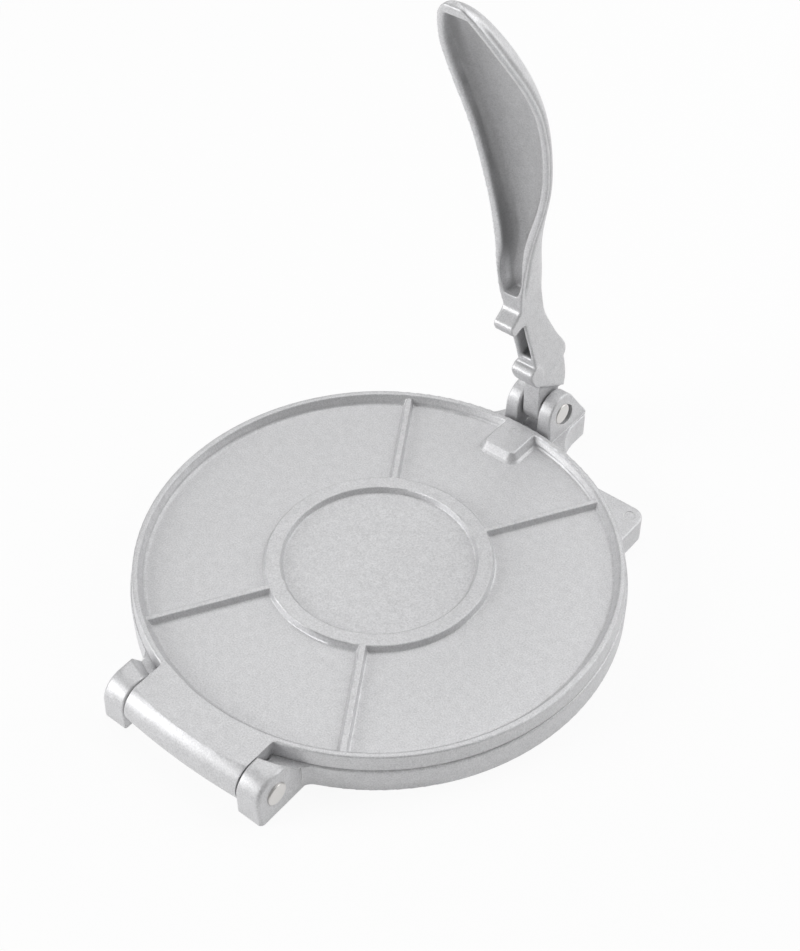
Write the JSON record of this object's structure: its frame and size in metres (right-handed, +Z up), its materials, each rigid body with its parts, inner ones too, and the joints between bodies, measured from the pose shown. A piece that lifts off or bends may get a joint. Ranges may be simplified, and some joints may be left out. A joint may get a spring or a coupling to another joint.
{
  "type": "tortilla press",
  "caption": "Hinged round press of cast aluminium: a ribbed top plate opens on a front hinge pin, and a lever handle on a clevis swings over to press it down.",
  "frame": {"origin": "middle of the closed press seen from above, on the table that it stands on", "axes": "+Z up, +Y from the hinge towards the handle, +X to the right along the two pins when seen from the hinge"},
  "size_m": [0.198, 0.2449, 0.2407],
  "materials": {
    "base_casting": "fine matt cast aluminium",
    "plate_casting": "fine matt cast aluminium",
    "handle_casting": "fine matt cast aluminium",
    "pin_metal": "smooth cut pin"
  },
  "bodies": {
    "base": {"base_plate": "base_casting", "hinge_pin": "pin_metal", "handle_pin": "pin_metal"},
    "plate": {"top_plate": "plate_casting"},
    "lever": {"handle": "handle_casting"}
  },
  "joints": [
    {"name": "plate_hinge", "type": "hinge", "parent": "base", "child": "plate", "pos_m": [0, -0.11195, 0.0095], "axis": [1, 0, 0], "range_deg": [0, 180]},
    {"name": "handle_pivot", "type": "hinge", "parent": "base", "child": "lever", "pos_m": [0, 0.10235, 0.0226], "axis": [1, 0, 0], "range_deg": [-32, 65.5]}
  ]
}
